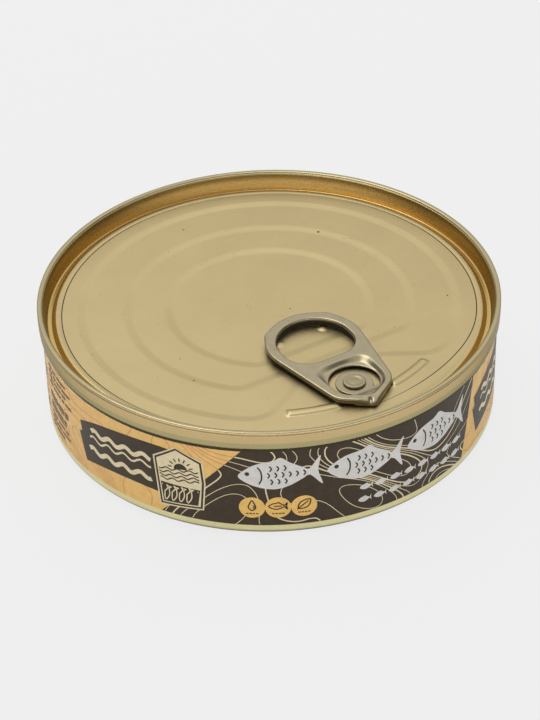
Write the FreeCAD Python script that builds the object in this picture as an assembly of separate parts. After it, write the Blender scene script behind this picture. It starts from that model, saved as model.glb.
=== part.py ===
"""A flat round tin of sprats: a drawn can body, a seamed easy-open lid and its pull tab.

Frame: millimetres, +Z up, origin at the centre of the base. The nose of the pull tab
points along -Y. Lengths "along the tab" are measured from the tin's axis towards -Y.
"""
import FreeCAD, Part
import math
import os

V = FreeCAD.Vector

# ---------------------------------------------------------------- driving dimensions
TIN_HEIGHT = 27.7            # base to the crown of the seam
SEAM_RADIUS = 51.15          # outside of the double seam
SEAM_HEIGHT = 4.05           # crown to the lower edge of the seam
SEAM_THICKNESS = 1.15        # seen from above, over the crown
SEAM_HEM_RADIUS = 0.42       # rounding of the seam's lower edge
SEAM_OVERHANG = 0.8          # how far the seam stands out from the body wall

BASE_CORNER_RADIUS = 1.8     # drawn corner between wall and base
STAND_WIDTH = 2.4            # flat ring that the tin stands on
BASE_RECESS = 0.9            # the base panel is set up by this much
BASE_SLOPE = 1.3             # width of the slope round the base panel
BASE_BEAD_RADIUS = 27.0      # stiffening bead pressed up into the base
BASE_BEAD_WIDTH = 4.0
BASE_BEAD_DEPTH = 0.5

SHEET = 0.25                 # lid sheet
CHUCK_WALL_LEAN = 0.85       # the chuck wall draws in by this much from top to bottom
COUNTERSINK_DEPTH = 4.45     # crown to the bottom of the groove
COUNTERSINK_WIDTH = 0.95     # floor of the groove, wall to wall
COUNTERSINK_FILLET = 0.4
PANEL_DEPTH = 3.6            # crown to the outer level of the panel
PANEL_WALL_LEAN = 0.95       # width of the slope from the groove up to the panel
PANEL_FILLET = 0.5

STEP_DROP = 0.14             # each shallow step goes down towards the centre
INNER_STEP = dict(radius=23.2, chord=18.9, corner=4.4, slope=1.9)
MIDDLE_STEP = dict(radius=32.4, chord=24.2, corner=5.2, slope=1.9)
OUTER_STEP_RADIUS = 42.55
OUTER_STEP_SLOPE = 1.85
OUTER_STEP_CHORD = 29.4      # straight stretch under the tab
OUTER_STEP_FLANK_AT = 9.6    # half the length of that stretch
OUTER_STEP_FLANK_ANGLE = 60.0
OUTER_STEP_CORNER = 7.6
OUTER_STEP_NOTCH_FILLET = 4.0

SCORE_RADIUS = 45.9          # score line round the panel
SCORE_AT_NOSE = 43.45        # it comes in this far under the nose of the tab
SCORE_CENTRE_SHIFT = 10.3    # centre of that flatter arc, behind the tin's axis
SCORE_WIDTH = 0.24
SCORE_DEPTH = 0.10

RIB_RADIUS = 40.0            # two ribs either side of the nose
RIB_START = 9.5              # degrees from the tab's axis
RIB_END = 25.0
RIB_WIDTH = 1.9
RIB_HEIGHT = 0.40
DIMPLE_RADIUS = 1.45         # two bumps that hold the finger ring up
DIMPLE_ALONG = 14.0
DIMPLE_ACROSS = 5.6

TAB_END_ALONG = 8.5          # finger end of the tab
TAB_TIP_ALONG = 44.2         # tip of its beak
TAB_WIDTH = 21.6
TAB_SHOULDER_ALONG = 39.3
TAB_SHOULDER_WIDTH = 14.6
TAB_SHOULDER_RADIUS = 5.0
TAB_TIP_RADIUS = 1.1
TAB_RIM_HEIGHT = 1.35        # rolled rim, top to underside
TAB_RIB_CLEARANCE = 0.05     # between the ribs and the rim that passes over them
TAB_RIM_FILLET = 0.5
FINGER_HOLE_MARGIN = 2.9     # rim width round the finger hole
FINGER_HOLE_END = 26.2       # flat side of the finger hole, along the tab
FINGER_HOLE_CORNER = 5.5
DISH_FLOOR = 0.95            # floor of the pressed dish, above the panel
DISH_START = 28.6            # along the tab
DISH_WIDTH = 13.6
DISH_CORNER = 2.6
RIVET_ALONG = 35.1
RIVET_HOLE_WINDOW = 5.4      # radius of the round opening in the dish
TONGUE_RADIUS = 4.05
TONGUE_THICKNESS = 0.42
TONGUE_ROOT_ALONG = 38.2     # the crescent gap ends here
NOSE_FOOT_CLEARANCE = 0.4    # sideways, from the foot of the nose to the ribs
RIVET_SHANK_RADIUS = 1.6
RIVET_HEAD_RADIUS = 2.45
RIVET_HEAD_HEIGHT = 0.55
RIVET_COIN_RADIUS = 1.5      # shallow ring pressed in the rivet's head
RIVET_COIN_DEPTH = 0.12

# ---------------------------------------------------------------- worked out from them
WALL_RADIUS = SEAM_RADIUS - SEAM_OVERHANG
PANEL_Z = TIN_HEIGHT - PANEL_DEPTH
SEAM_FOOT_Z = TIN_HEIGHT - SEAM_HEIGHT
GROOVE_Z = TIN_HEIGHT - COUNTERSINK_DEPTH
CHUCK_TOP_RADIUS = SEAM_RADIUS - SEAM_THICKNESS
GROOVE_OUTER = CHUCK_TOP_RADIUS - CHUCK_WALL_LEAN
GROOVE_INNER = GROOVE_OUTER - COUNTERSINK_WIDTH
PANEL_RADIUS = GROOVE_INNER - PANEL_WALL_LEAN
JOINT_RADIUS = PANEL_RADIUS - PANEL_FILLET     # the turned rim meets the pressed panel here
PANEL_FLOOR_Z = PANEL_Z - 3 * STEP_DROP - SHEET    # below every hollow of the pressed panel
TAB_GAP = RIB_HEIGHT + TAB_RIB_CLEARANCE       # under the rim, above the panel
TAB_FOOT_Z = PANEL_Z + TAB_GAP
NOSE_FOOT_HALF = RIB_RADIUS * math.sin(math.radians(RIB_START)) - RIB_WIDTH / 2 - NOSE_FOOT_CLEARANCE


# ---------------------------------------------------------------- outlines
def unit(a, b):
    """Unit vector from a to b."""
    d = b - a
    return d.multiply(1.0 / d.Length)


def rounded_wire(corners):
    """Closed wire through corners given as (point, radius), each rounded by its radius."""
    count = len(corners)
    cuts = []
    for i, (point, radius) in enumerate(corners):
        before = corners[i - 1][0]
        after = corners[(i + 1) % count][0]
        to_before, to_after = unit(point, before), unit(point, after)
        half = to_before.getAngle(to_after) / 2
        if radius <= 0:
            cuts.append((point, None, point))
            continue
        reach = radius / math.tan(half)
        bisector = unit(V(), to_before + to_after)
        middle = point + bisector * (radius / math.sin(half) - radius)
        cuts.append((point + to_before * reach, middle, point + to_after * reach))
    edges = []
    for i, (start, middle, end) in enumerate(cuts):
        if middle is not None:
            edges.append(Part.Arc(start, middle, end).toShape())
        following = cuts[(i + 1) % count][0]
        if (following - end).Length > 1e-6:
            edges.append(Part.LineSegment(end, following).toShape())
    return Part.Wire(edges)


def turned(corners):
    """Solid of revolution about Z of a profile of (radius, z, corner radius)."""
    wire = rounded_wire([(V(r, 0, z), fillet) for r, z, fillet in corners])
    return Part.Face(wire).revolve(V(0, 0, 0), V(0, 0, 1), 360)


def on_lid(along, across, z=0.0):
    """Point of the lid from its place along and across the tab."""
    return V(across, -along, z)


def disc(radius, z, height, along=0.0):
    return Part.makeCylinder(radius, height, on_lid(along, 0, z))


def ball_at(radius, centre):
    """Ball with its poles to the side, so that a cap cut from its top has none."""
    return Part.makeSphere(radius, centre, V(1, 0, 0))


def prism(wire, height):
    return Part.Face(wire).extrude(V(0, 0, height))


def polar(radius, angle):
    """(along, across) of a point at an angle from the tab's axis."""
    return radius * math.cos(angle), radius * math.sin(angle)


def arc_between(centre, radius, start, end, z):
    """Arc about a centre (along, across), from one angle to another."""
    angles = (start, (start + end) / 2, end)
    points = [on_lid(centre[0] + radius * math.cos(a), centre[1] + radius * math.sin(a), z) for a in angles]
    return Part.Arc(*points).toShape()


def flatted_circle(radius, chord, corner, z):
    """Circle cut off by a chord across the tab's axis, with rounded corners."""
    reach = radius - corner
    across = math.sqrt(reach ** 2 - (chord - corner) ** 2)
    turn = math.atan2(across, chord - corner)
    centre = (chord - corner, across)
    mirror = (chord - corner, -across)
    return Part.Wire([
        arc_between((0, 0), radius, turn, 2 * math.pi - turn, z),
        arc_between(mirror, corner, -turn, 0, z),
        Part.LineSegment(on_lid(chord, -across, z), on_lid(chord, across, z)).toShape(),
        arc_between(centre, corner, 0, turn, z),
    ])


def notched_circle(inset, z):
    """Outline of the outer step: a circle with a notch round the rivet, drawn in by inset."""
    slant = math.radians(OUTER_STEP_FLANK_ANGLE)
    normal = (math.sin(slant), -math.cos(slant))
    offset = OUTER_STEP_CHORD * normal[0] + OUTER_STEP_FLANK_AT * normal[1] - inset
    radius = OUTER_STEP_RADIUS - inset
    corner = OUTER_STEP_CORNER - inset
    notch = OUTER_STEP_NOTCH_FILLET + inset
    chord = OUTER_STEP_CHORD - inset
    # convex corner: touches the circle and the flank from inside
    depth = offset - corner
    run = math.sqrt((radius - corner) ** 2 - depth ** 2)
    convex = (depth * normal[0] + run * math.cos(slant), depth * normal[1] + run * math.sin(slant))
    turn = math.atan2(convex[1], convex[0])
    flank = math.atan2(normal[1], normal[0])
    # concave corner: touches the flank and the chord from outside
    along = chord + notch
    across = (along * normal[0] - offset - notch) / -normal[1]
    concave = (along, across)

    def touch(centre, reach, sign):
        return on_lid(centre[0] + reach * normal[0], sign * (centre[1] + reach * normal[1]), z)

    edges = [arc_between((0, 0), radius, turn, 2 * math.pi - turn, z)]
    edges.append(arc_between((convex[0], -convex[1]), corner, -turn, -flank, z))
    edges.append(Part.LineSegment(touch(convex, corner, -1), touch(concave, -notch, -1)).toShape())
    edges.append(arc_between((along, -across), notch, math.pi - flank, math.pi, z))
    edges.append(Part.LineSegment(on_lid(chord, -across, z), on_lid(chord, across, z)).toShape())
    edges.append(arc_between(concave, notch, math.pi, math.pi + flank, z))
    edges.append(Part.LineSegment(touch(concave, -notch, 1), touch(convex, corner, 1)).toShape())
    edges.append(arc_between(convex, corner, flank, turn, z))
    return Part.Wire(edges)


def pocket(upper, lower):
    """Shallow pocket with sloping sides between two matching outlines."""
    return Part.makeLoft([upper, lower], True, True)


# ---------------------------------------------------------------- lid
def step_pockets():
    """The three steps, from the outer one in, each a STEP_DROP lower than the last."""
    level = PANEL_Z
    pockets = [pocket(notched_circle(0, level), notched_circle(OUTER_STEP_SLOPE, level - STEP_DROP))]
    for step in (MIDDLE_STEP, INNER_STEP):
        level -= STEP_DROP
        slope = step["slope"]
        upper = flatted_circle(step["radius"], step["chord"], step["corner"], level)
        lower = flatted_circle(step["radius"] - slope, step["chord"] - slope, step["corner"] - slope,
                               level - STEP_DROP)
        pockets.append(pocket(upper, lower))
    return pockets


def rib(side):
    """Low half-round rib on the panel, beside the nose."""
    half = RIB_WIDTH / 2
    ball = (half ** 2 + RIB_HEIGHT ** 2) / (2 * RIB_HEIGHT)
    centre_z = PANEL_Z + RIB_HEIGHT - ball
    start, end = math.radians(RIB_START), math.radians(RIB_END)
    section = Part.Face(Part.Wire(Part.makeCircle(ball, V(RIB_RADIUS, 0, centre_z), V(0, 1, 0))))
    bar = section.revolve(V(0, 0, 0), V(0, 0, 1), math.degrees(end - start))
    bar.rotate(V(0, 0, 0), V(0, 0, 1), -90 + math.degrees(start if side > 0 else -end))
    parts = [bar]
    for angle in (start, end):
        along, across = polar(RIB_RADIUS, angle)
        parts.append(ball_at(ball, on_lid(along, side * across, centre_z)))
    ridge = parts[0].fuse(parts[1:])
    return ridge.common(disc(PANEL_RADIUS, PANEL_Z - SHEET, SHEET + 2 * RIB_HEIGHT))


def dimple(side):
    """Round bump under the finger ring, tall enough to carry it."""
    foot = PANEL_Z - 2 * STEP_DROP - STEP_DROP
    height = TAB_FOOT_Z - foot
    ball = (DIMPLE_RADIUS ** 2 + height ** 2) / (2 * height)
    bump = ball_at(ball, on_lid(DIMPLE_ALONG, side * DIMPLE_ACROSS, foot + height - ball))
    return bump.common(disc(PANEL_RADIUS, foot - SHEET, height + 2 * SHEET))


def score(widen, z, height):
    """Area inside the score line, widened by a little."""
    flat_radius = SCORE_AT_NOSE + SCORE_CENTRE_SHIFT + widen
    round_part = disc(SCORE_RADIUS + widen, z, height)
    return round_part.common(disc(flat_radius, z, height, along=-SCORE_CENTRE_SHIFT))


def pressed_panel():
    """Solid whose top is the lid's pressed panel; it reaches well below it."""
    block = disc(JOINT_RADIUS, PANEL_FLOOR_Z, PANEL_Z - PANEL_FLOOR_Z)
    for hollow in step_pockets():
        block = block.cut(hollow)
    bumps = [rib(1), rib(-1), dimple(1), dimple(-1)]
    return block.fuse(bumps)


def panel_sheet(block):
    below = block.copy()
    below.translate(V(0, 0, -SHEET))
    sheet = block.cut(below)
    z = PANEL_Z - SCORE_DEPTH
    groove = score(SCORE_WIDTH / 2, z, 2 * SCORE_DEPTH).cut(score(-SCORE_WIDTH / 2, z, 2 * SCORE_DEPTH))
    return sheet.cut(groove)


def turned_rim():
    """Double seam, chuck wall and countersink, in section from the panel outwards."""
    crown = SEAM_THICKNESS * 0.48
    under = SHEET
    return turned([
        (JOINT_RADIUS, PANEL_Z, 0),
        (PANEL_RADIUS, PANEL_Z, PANEL_FILLET),
        (GROOVE_INNER, GROOVE_Z, COUNTERSINK_FILLET),
        (GROOVE_OUTER, GROOVE_Z, COUNTERSINK_FILLET),
        (CHUCK_TOP_RADIUS, TIN_HEIGHT, crown),
        (SEAM_RADIUS, TIN_HEIGHT, crown),
        (SEAM_RADIUS, SEAM_FOOT_Z, SEAM_HEM_RADIUS),
        (GROOVE_OUTER + under, SEAM_FOOT_Z, 0),
        (GROOVE_OUTER + under, GROOVE_Z - under, COUNTERSINK_FILLET + under / 2),
        (GROOVE_INNER - under, GROOVE_Z - under, COUNTERSINK_FILLET),
        (PANEL_RADIUS - under, PANEL_Z - under, 0),
        (JOINT_RADIUS, PANEL_Z - under, 0),
    ])


def rivet():
    """The rivet is drawn up from the lid itself and headed over the tab's tongue."""
    tongue_top = PANEL_Z + TONGUE_THICKNESS
    shank = disc(RIVET_SHANK_RADIUS, PANEL_Z - SHEET / 2, TONGUE_THICKNESS + SHEET, along=RIVET_ALONG)
    head = disc(RIVET_HEAD_RADIUS, tongue_top, RIVET_HEAD_HEIGHT, along=RIVET_ALONG)
    top_edge = [e for e in head.Edges if e.BoundBox.ZMin > tongue_top + RIVET_HEAD_HEIGHT / 2]
    head = head.makeFillet(RIVET_HEAD_HEIGHT * 0.45, top_edge)
    coin_z = tongue_top + RIVET_HEAD_HEIGHT - RIVET_COIN_DEPTH
    coin = disc(RIVET_COIN_RADIUS, coin_z, RIVET_COIN_DEPTH * 2, along=RIVET_ALONG)
    return shank.fuse(head.cut(coin))


def make_lid(block):
    return turned_rim().fuse([panel_sheet(block), rivet()]).removeSplitter()


# ---------------------------------------------------------------- can body
def make_body(block):
    """Drawn cup with its contents, filled up to the underside of the lid."""
    stand_inner = WALL_RADIUS - BASE_CORNER_RADIUS - STAND_WIDTH
    bead_in = BASE_BEAD_RADIUS - BASE_BEAD_WIDTH / 2
    bead_out = BASE_BEAD_RADIUS + BASE_BEAD_WIDTH / 2
    bead_z = BASE_RECESS + BASE_BEAD_DEPTH
    under_groove = GROOVE_Z - SHEET
    cup = turned([
        (0, BASE_RECESS, 0),
        (bead_in, BASE_RECESS, 1.0),
        (bead_in + BASE_BEAD_WIDTH / 4, bead_z, 1.0),
        (bead_out - BASE_BEAD_WIDTH / 4, bead_z, 1.0),
        (bead_out, BASE_RECESS, 1.0),
        (stand_inner - BASE_SLOPE, BASE_RECESS, 0.6),
        (stand_inner, 0, 0.6),
        (WALL_RADIUS, 0, BASE_CORNER_RADIUS),
        (WALL_RADIUS, SEAM_FOOT_Z, 0),
        (GROOVE_OUTER + SHEET, SEAM_FOOT_Z, 0),
        (GROOVE_OUTER + SHEET, under_groove, COUNTERSINK_FILLET + SHEET / 2),
        (GROOVE_INNER - SHEET, under_groove, COUNTERSINK_FILLET),
        (PANEL_RADIUS - SHEET, PANEL_Z - SHEET, 0),
        (JOINT_RADIUS, PANEL_Z - SHEET, 0),
        (JOINT_RADIUS, PANEL_FLOOR_Z - SHEET, 0),
        (0, PANEL_FLOOR_Z - SHEET, 0),
    ])
    filling = block.copy()
    filling.translate(V(0, 0, -SHEET))
    return cup.fuse(filling).removeSplitter()


# ---------------------------------------------------------------- pull tab
def tab_outline(z):
    """Round finger end, straight sides that draw in, and a beaked nose."""
    radius = TAB_WIDTH / 2
    centre = TAB_END_ALONG + radius
    shoulder = (TAB_SHOULDER_ALONG, TAB_SHOULDER_WIDTH / 2)
    reach = math.hypot(shoulder[0] - centre, shoulder[1])
    turn = math.atan2(shoulder[1], shoulder[0] - centre) + math.acos(radius / reach)
    tangent = (centre + radius * math.cos(turn), radius * math.sin(turn))
    tip = TAB_TIP_ALONG + TAB_TIP_RADIUS * (1 / math.sin(beak_half_angle()) - 1)
    corners = [(tangent, 0), (shoulder, TAB_SHOULDER_RADIUS), ((tip, 0.0), TAB_TIP_RADIUS),
               ((shoulder[0], -shoulder[1]), TAB_SHOULDER_RADIUS), ((tangent[0], -tangent[1]), 0)]
    nose = rounded_wire([(on_lid(a, c, z), r) for (a, c), r in corners])
    disc_end = Part.makeCylinder(radius, TAB_RIM_HEIGHT, on_lid(centre, 0, z))
    return prism(nose, TAB_RIM_HEIGHT).fuse(disc_end).removeSplitter()


def beak_half_angle():
    """Half the angle of the nose at its tip."""
    return math.atan2(TAB_SHOULDER_WIDTH / 2, TAB_TIP_ALONG - TAB_SHOULDER_ALONG)


def finger_hole():
    """Rounded hole: a half circle at the finger end and a flat side with round corners."""
    radius = TAB_WIDTH / 2 - FINGER_HOLE_MARGIN + 0.45
    centre = TAB_END_ALONG + TAB_WIDTH / 2
    start = centre - radius
    corner = FINGER_HOLE_CORNER
    points = [((start, radius), radius - 0.01), ((FINGER_HOLE_END, radius), corner),
              ((FINGER_HOLE_END, -radius), corner), ((start, -radius), radius - 0.01)]
    wire = rounded_wire([(on_lid(a, c, PANEL_Z), r) for (a, c), r in points])
    return prism(wire, TAB_GAP + 2 * TAB_RIM_HEIGHT)


def dish():
    """Pressed hollow round the rivet, open towards the nose."""
    far = RIVET_ALONG + RIVET_HOLE_WINDOW
    half = DISH_WIDTH / 2
    points = [((DISH_START, half), DISH_CORNER), ((DISH_START, -half), DISH_CORNER),
              ((far, -RIVET_HOLE_WINDOW * 0.55), 1.5), ((far, RIVET_HOLE_WINDOW * 0.55), 1.5)]
    wire = rounded_wire([(on_lid(a, c, PANEL_Z + DISH_FLOOR), r) for (a, c), r in points])
    return prism(wire, 2 * TAB_RIM_HEIGHT)


def make_tab():
    body = tab_outline(TAB_FOOT_Z)
    rim_edges = [e for e in body.Edges
                 if e.BoundBox.ZLength < 1e-6 and e.BoundBox.ZMin > TAB_FOOT_Z + TAB_RIM_HEIGHT / 2]
    body = body.makeFillet(TAB_RIM_FILLET, rim_edges)
    # the nose reaches down to the panel, between the ribs
    foot = Part.makeBox(2 * NOSE_FOOT_HALF, TAB_TIP_ALONG, TAB_GAP + TAB_RIM_HEIGHT / 2,
                        V(-NOSE_FOOT_HALF, -TAB_TIP_ALONG - TONGUE_ROOT_ALONG, PANEL_Z))
    body = body.fuse(tab_outline(PANEL_Z).common(foot))
    window = disc(RIVET_HOLE_WINDOW, PANEL_Z, TAB_GAP + 2 * TAB_RIM_HEIGHT, along=RIVET_ALONG)
    body = body.cut([finger_hole(), dish(), window])
    tongue = disc(TONGUE_RADIUS, PANEL_Z, TONGUE_THICKNESS, along=RIVET_ALONG)
    root = disc(RIVET_HOLE_WINDOW, PANEL_Z, TONGUE_THICKNESS, along=RIVET_ALONG).common(
        Part.makeBox(TAB_WIDTH, TAB_TIP_ALONG, TONGUE_THICKNESS,
                     V(-TAB_WIDTH / 2, -TAB_TIP_ALONG - TONGUE_ROOT_ALONG, PANEL_Z)))
    body = body.fuse([tongue, root])
    hole = disc(RIVET_SHANK_RADIUS, PANEL_Z, TONGUE_THICKNESS, along=RIVET_ALONG)
    return body.cut(hole).removeSplitter()


# ---------------------------------------------------------------- build
def main():
    os.makedirs("parts", exist_ok=True)
    block = pressed_panel()
    nodes = {"can_body": make_body(block), "lid": make_lid(block), "pull_tab": make_tab()}
    for name, shape in nodes.items():
        shape.exportStep(f"parts/{name}.step")
        print(name, "solids", len(shape.Solids), "valid", shape.isValid(), "volume", round(shape.Volume, 1),
              "box", [round(v, 2) for v in (shape.BoundBox.XMin, shape.BoundBox.YMin, shape.BoundBox.ZMin,
                                            shape.BoundBox.XMax, shape.BoundBox.YMax, shape.BoundBox.ZMax)])


main()
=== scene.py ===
"""A flat tin of sprats: drawn and printed can body, gold easy-open lid, riveted pull tab."""
import math

import bpy
import numpy as np
from mathutils import Matrix, Vector
from mathutils.geometry import delaunay_2d_cdt


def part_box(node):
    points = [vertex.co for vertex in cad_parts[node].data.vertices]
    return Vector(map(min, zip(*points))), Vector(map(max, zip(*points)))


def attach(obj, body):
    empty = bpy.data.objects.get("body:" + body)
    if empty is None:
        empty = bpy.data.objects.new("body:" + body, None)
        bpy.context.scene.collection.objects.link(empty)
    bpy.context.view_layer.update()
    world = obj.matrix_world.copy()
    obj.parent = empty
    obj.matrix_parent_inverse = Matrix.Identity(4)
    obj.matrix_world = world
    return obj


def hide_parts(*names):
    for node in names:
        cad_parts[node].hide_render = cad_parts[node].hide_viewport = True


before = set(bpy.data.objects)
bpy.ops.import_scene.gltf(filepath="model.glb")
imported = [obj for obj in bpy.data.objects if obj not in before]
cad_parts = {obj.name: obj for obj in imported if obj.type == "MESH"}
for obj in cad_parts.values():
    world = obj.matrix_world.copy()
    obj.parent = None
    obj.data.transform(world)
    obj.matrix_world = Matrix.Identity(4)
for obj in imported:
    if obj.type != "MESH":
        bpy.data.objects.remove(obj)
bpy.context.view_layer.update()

# ------------------------ can body
# A cup drawn from gold-lacquered tinplate, one piece with its base. It is
# printed flat and varnished before drawing, so the foot below the print
# stays bare and shows the pale greenish gold of the lacquer.

MM = 0.001
WALL_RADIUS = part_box("can_body")[1].x / MM
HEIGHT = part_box("lid")[1].z / MM
SEAM_FOOT = HEIGHT - 4.3
BASE_RISE, BEAD_RISE = 0.9, 1.4     # the base panel and the stiffening bead pressed up into it
UNDER_LID = 22.9                    # the hidden top, just below the lid's sheet
TUCK = 0.35                         # the wall draws in where the seam takes hold of it
TURNS = 480                         # facets round the tin


def linear(hex_colour):
    """sRGB hex to linear RGBA."""
    channels = [int(hex_colour[i:i + 2], 16) / 255 for i in (1, 3, 5)]
    return [c / 12.92 if c <= 0.04045 else ((c + 0.055) / 1.055) ** 2.4 for c in channels] + [1.0]


def add_node(tree, kind, settings=None, links=None):
    """One shader node with its settings, input values and colour stops, linked from sockets or
    from the first output of other nodes."""
    made = tree.nodes.new("ShaderNode" + kind)
    for key, value in (settings or {}).items():
        if key == "stops":
            ramp = made.color_ramp.elements
            while len(ramp) < len(value):
                ramp.new(0.5)
            for stop, (place, colour) in zip(ramp, value):
                stop.position, stop.color = place, colour
        elif isinstance(key, str) and hasattr(made, key):
            setattr(made, key, value)
        else:
            made.inputs[key].default_value = value
    for key, source in (links or {}).items():
        tree.links.new(getattr(source, "outputs", [source])[0], made.inputs[key])
    return made


def new_material(name, **shader_values):
    """Material with one principled shader; returns it with its tree and shader node."""
    material = bpy.data.materials.new(name)
    material.use_nodes = True
    shader = material.node_tree.nodes["Principled BSDF"]
    for socket, value in shader_values.items():
        shader.inputs[socket.replace("_", " ")].default_value = value
    return material, material.node_tree, shader


def mottled_finish(name, colour, rough, grain, flow, shade, bump=0.12, **shader_values):
    """Material whose colour varies by two noises, of a grain and a flow in millimetres, and whose
    roughness and bump follow the flow; returns it with its tree, tinting node and coordinates."""
    material, tree, shader = new_material(name, **shader_values)
    place = add_node(tree, "TexCoord")
    noises = [add_node(tree, "TexNoise", {"Scale": 1 / (size * MM), "Detail": 3.0},
                       {"Vector": place.outputs["Object"]}) for size in (grain, flow)]
    both = add_node(tree, "Math", {"operation": "ADD"}, dict(enumerate(noises)))
    value = add_node(tree, "MapRange",
                     {"From Min": 0.5, "From Max": 1.5, "To Min": 1 - shade, "To Max": 1 + shade},
                     {"Value": both})
    tint = add_node(tree, "HueSaturation", {"Color": linear(colour)}, {"Value": value})
    tree.links.new(tint.outputs["Color"], shader.inputs["Base Color"])
    satin = add_node(tree, "MapRange", {"To Min": rough - 0.06, "To Max": rough + 0.06},
                     {"Value": noises[1]})
    tree.links.new(satin.outputs["Result"], shader.inputs["Roughness"])
    peel = add_node(tree, "Bump", {"Strength": bump, "Distance": 0.02 * MM}, {"Height": noises[1]})
    tree.links.new(peel.outputs["Normal"], shader.inputs["Normal"])
    return material, tree, tint, place


def in_scene(name, data):
    """Object made from its data and put in the scene."""
    made = bpy.data.objects.new(name, data)
    bpy.context.scene.collection.objects.link(made)
    return made


def mesh_piece(name, points, faces, material):
    """Smooth mesh from points in millimetres, riding on the tin's one body."""
    mesh = bpy.data.meshes.new(name)
    mesh.from_pydata((np.asarray(points, float) * MM).tolist(), [], [list(map(int, f)) for f in faces])
    mesh.validate()
    mesh.polygons.foreach_set("use_smooth", [True] * len(mesh.polygons))
    mesh.materials.append(material)
    piece = in_scene(name, mesh)
    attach(piece, "root")
    return piece


def rounded_line(corners, steps=6, closed=False):
    """Line through (x, y, rounding) corners, with arcs at the rounded ones."""
    line = []
    for i, (x, y, radius) in enumerate(corners):
        point = np.array([x, y], float)
        if radius <= 0 or (not closed and i in (0, len(corners) - 1)):
            line.append(point)
            continue
        before = np.array(corners[i - 1][:2], float) - point
        after = np.array(corners[(i + 1) % len(corners)][:2], float) - point
        before /= np.linalg.norm(before)
        after /= np.linalg.norm(after)
        half = math.acos(np.clip(before @ after, -1, 1)) / 2
        reach = radius / math.tan(half)
        centre = point + (before + after) / np.linalg.norm(before + after) * radius / math.sin(half)
        start, end = point + before * reach - centre, point + after * reach - centre
        turn = math.atan2(start[0] * end[1] - start[1] * end[0], start @ end)
        for k in range(steps + 1):
            a = turn * k / steps
            line.append(centre + np.array([start[0] * math.cos(a) - start[1] * math.sin(a),
                                           start[0] * math.sin(a) + start[1] * math.cos(a)]))
    return np.array(line)


def fine_profile(line, longest):
    """Splits the long stretches of a profile."""
    out = [line[0]]
    for a, b in zip(line[:-1], line[1:]):
        count = max(1, math.ceil(np.linalg.norm(b - a) / longest))
        out += [a + (b - a) * k / count for k in range(1, count + 1)]
    return np.array(out)


def grid_faces(rows, columns):
    """Quads of a closed band: rows of points, each running once round the tin."""
    r, c = np.meshgrid(np.arange(rows - 1), np.arange(columns), indexing="ij")
    ahead = (c + 1) % columns
    quads = [r * columns + c, r * columns + ahead, (r + 1) * columns + ahead, (r + 1) * columns + c]
    return np.stack(quads, -1).reshape(-1, 4).tolist()


def turned_points(line, columns):
    """Points of a profile of (radius, height) turned round the tin's axis."""
    angle = np.linspace(0, 2 * math.pi, columns, endpoint=False)
    radius, height = line[:, :1], line[:, 1:]
    height = np.broadcast_to(height, (len(line), columns))
    return np.stack([radius * np.cos(angle), radius * np.sin(angle), height], -1).reshape(-1, 3)


body_line = fine_profile(rounded_line([
    (0.01, BASE_RISE, 0), (25.0, BASE_RISE, 1.0), (26.0, BEAD_RISE, 1.0), (28.0, BEAD_RISE, 1.0),
    (29.0, BASE_RISE, 1.0), (44.85, BASE_RISE, 0.6), (46.15, 0, 0.6), (WALL_RADIUS, 0, 1.8),
    (WALL_RADIUS, SEAM_FOOT - 0.35, 0.2), (WALL_RADIUS - TUCK, SEAM_FOOT - 0.05, 0.2),
    (WALL_RADIUS - TUCK, SEAM_FOOT + 0.11, 0), (49.55, SEAM_FOOT + 0.12, 0),
    (49.5, UNDER_LID, 0), (0.01, UNDER_LID, 0)]), 3.0)

# gold lacquer over tin, stretched by drawing: satin, paler and greener than the lid's,
# with a painted contact shadow along the edge that it stands on
drawn_tinplate, tree, tint, place = mottled_finish("drawn_gold_tinplate", "#E3DAA5", 0.33, 3.0, 0.5, 0.10,
                                                   Metallic=1.0)
split = add_node(tree, "SeparateXYZ", {}, {"Vector": place.outputs["Object"]})
# painted contact shadow: the colour turns dark from 1.6 mm above the base down to 0.8 mm
rubbed = add_node(tree, "MapRange", {"From Min": 1.6 * MM, "From Max": 0.8 * MM, "To Max": 0.95},
                  {"Value": split.outputs["Z"]})
contact_shade_colour = add_node(tree, "Mix", {"data_type": "RGBA", 6: linear("#E3DAA5"), 7: linear("#2E2616")},
                {0: rubbed})
tree.links.new(contact_shade_colour.outputs[2], tint.inputs["Color"])

can_shell = mesh_piece("can_shell", turned_points(body_line, TURNS), grid_faces(len(body_line), TURNS),
                       drawn_tinplate)
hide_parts("can_body")

# ------------------------ print: ground and fields
# Offset litho inks on the wall under a satin varnish, each a thin film of its
# own: an ochre base coat, dark brown fields with slanting ends, and banners
# with a notched end. A dark film just under the seam is painted shadow.

DEGREE = math.pi / 180
MM_PER_DEGREE = WALL_RADIUS * DEGREE
REPEAT = 114.0                                 # one panel of the print, in degrees round the tin
PANELS = (-175.5, -175.5 + REPEAT)             # where the two like panels start
PRINT_FOOT, PRINT_TOP = 2.8, SEAM_FOOT - 0.34
FISH_LINE = 0.34
INK = 0.02                                     # drawn thicker than real ink, to keep the films apart
ROSE, FIELD, LINES, SHAPES, DETAILS, INNER, MARKS = range(2, 9)    # order of the films


def at(angle, height):
    """Place on the wall: degrees round the tin, as millimetres, and height."""
    return np.array([angle * MM_PER_DEGREE, height])


def wrap(points, layer):
    """(millimetres round, height) to the wall, lifted by a number of ink films."""
    around, height = np.asarray(points, float).T
    angle, radius = around / MM_PER_DEGREE * DEGREE, WALL_RADIUS + layer * INK
    return np.stack([radius * np.cos(angle), radius * np.sin(angle), height], -1)


def printing_ink(name, colour, shade=0.16):
    """Litho ink under varnish: an even, satin colour. The halftone grain is drawn at 0.25 mm, twice
    its real size, so that it shows; the varnish runs in slow waves of 1.6 mm."""
    return mottled_finish(name, colour, 0.4, 0.25, 1.6, shade, 0.15, IOR=1.4)[0]


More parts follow.
